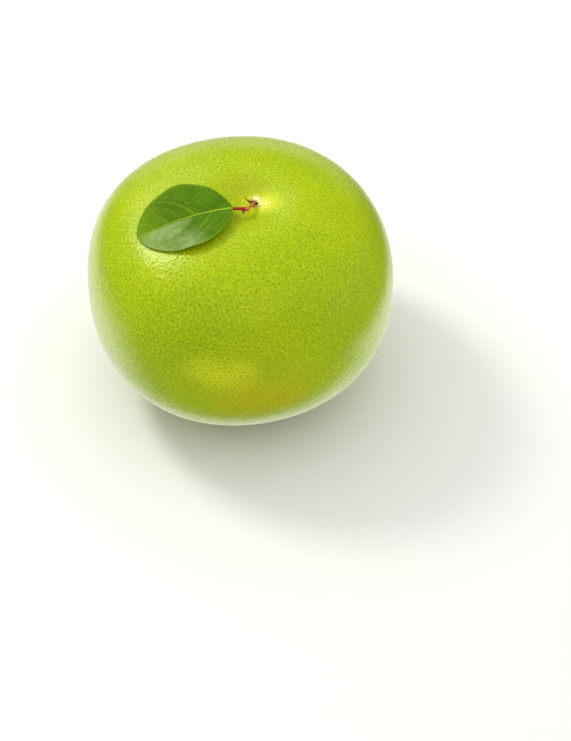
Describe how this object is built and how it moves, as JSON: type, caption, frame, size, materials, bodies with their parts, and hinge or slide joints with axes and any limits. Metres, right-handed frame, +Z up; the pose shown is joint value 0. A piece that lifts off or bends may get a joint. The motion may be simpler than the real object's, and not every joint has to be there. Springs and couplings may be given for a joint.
{
  "type": "pomelo",
  "caption": "Whole green pomelo as picked: flattened round fruit with a shallow stem dimple, a short red-brown twig and one green leaf lying just over the peel.",
  "frame": {"origin": "on the surface that the fruit rests on, under the middle of the fruit", "axes": "+Z up through the stem end, -X towards the leaf, -Y towards the side that the picture shows"},
  "size_m": [0.1488, 0.1493, 0.1182],
  "materials": {
    "peel": "waxy green citrus peel with fine oil glands",
    "twig_bark": "satin red-brown young bark",
    "leaf_blade": "satin leathery green leaf"
  },
  "bodies": {
    "root": {"fruit": "peel", "twig": "twig_bark", "leaf": "leaf_blade"}
  },
  "joints": []
}
